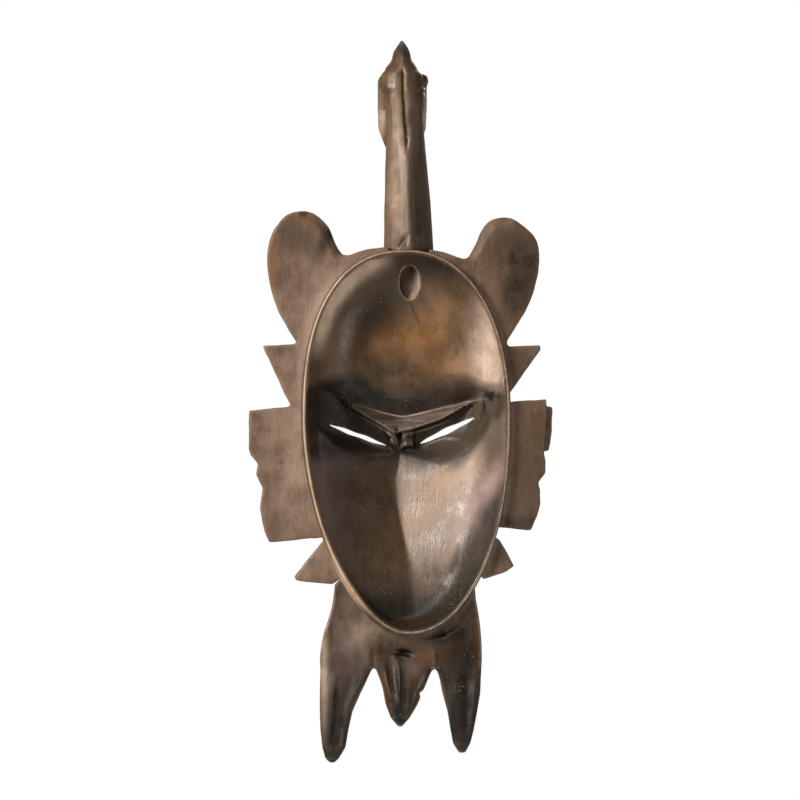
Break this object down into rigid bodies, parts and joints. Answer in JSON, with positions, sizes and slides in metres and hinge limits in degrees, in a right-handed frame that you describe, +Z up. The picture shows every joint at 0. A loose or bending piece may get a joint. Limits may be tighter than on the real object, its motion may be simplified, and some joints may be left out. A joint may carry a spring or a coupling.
{
  "type": "carved wooden mask",
  "caption": "Oval carved wooden face mask with a hollow back, flanged sides, legs and tail below the chin, and a bird's-head crest.",
  "frame": {"origin": "middle of the rim's flat land at the top of the oval, in the plane of the wall that the mask hangs on", "axes": "+Z up along the mask's height, +Y out of the wall through the face, +X to the wearer's right"},
  "size_m": [0.1517, 0.059, 0.3617],
  "materials": {
    "hollow_wood": "rubbed dark stain, semi-gloss, with chisel marks",
    "rim_wood": "stain worn to tan along the edge",
    "face_wood": "dark waxed patina",
    "flange_wood": "grey-brown stain, fine vertical grain",
    "crest_wood": "dark stain rubbed paler on the edges",
    "leg_wood": "purple-brown patina, waxed"
  },
  "bodies": {
    "root": {"back_rim": "rim_wood", "beak": "crest_wood", "crest_casque": "crest_wood", "crest_head": "crest_wood", "crest_neck": "crest_wood", "face_border": "face_wood", "face_shell": "hollow_wood", "forehead_lozenge": "face_wood", "left_brow": "face_wood", "left_cheek_bar_1": "face_wood", "left_cheek_bar_2": "face_wood", "left_cheek_bar_3": "face_wood", "left_eye_boss": "crest_wood", "left_leg": "leg_wood", "left_lobe": "flange_wood", "left_lower_eyelid": "face_wood", "left_lower_spike": "flange_wood", "left_side_panel": "flange_wood", "left_upper_eyelid": "face_wood", "left_upper_spike": "flange_wood", "leg_yoke": "leg_wood", "lower_lip": "face_wood", "nose": "face_wood", "right_brow": "face_wood", "right_cheek_bar_1": "face_wood", "right_cheek_bar_2": "face_wood", "right_cheek_bar_3": "face_wood", "right_eye_boss": "crest_wood", "right_leg": "leg_wood", "right_lobe": "flange_wood", "right_lower_eyelid": "face_wood", "right_lower_spike": "flange_wood", "right_panel_step": "flange_wood", "right_side_panel": "flange_wood", "right_upper_eyelid": "face_wood", "right_upper_spike": "flange_wood", "tail_tab": "leg_wood", "upper_lip": "face_wood"}
  },
  "joints": []
}
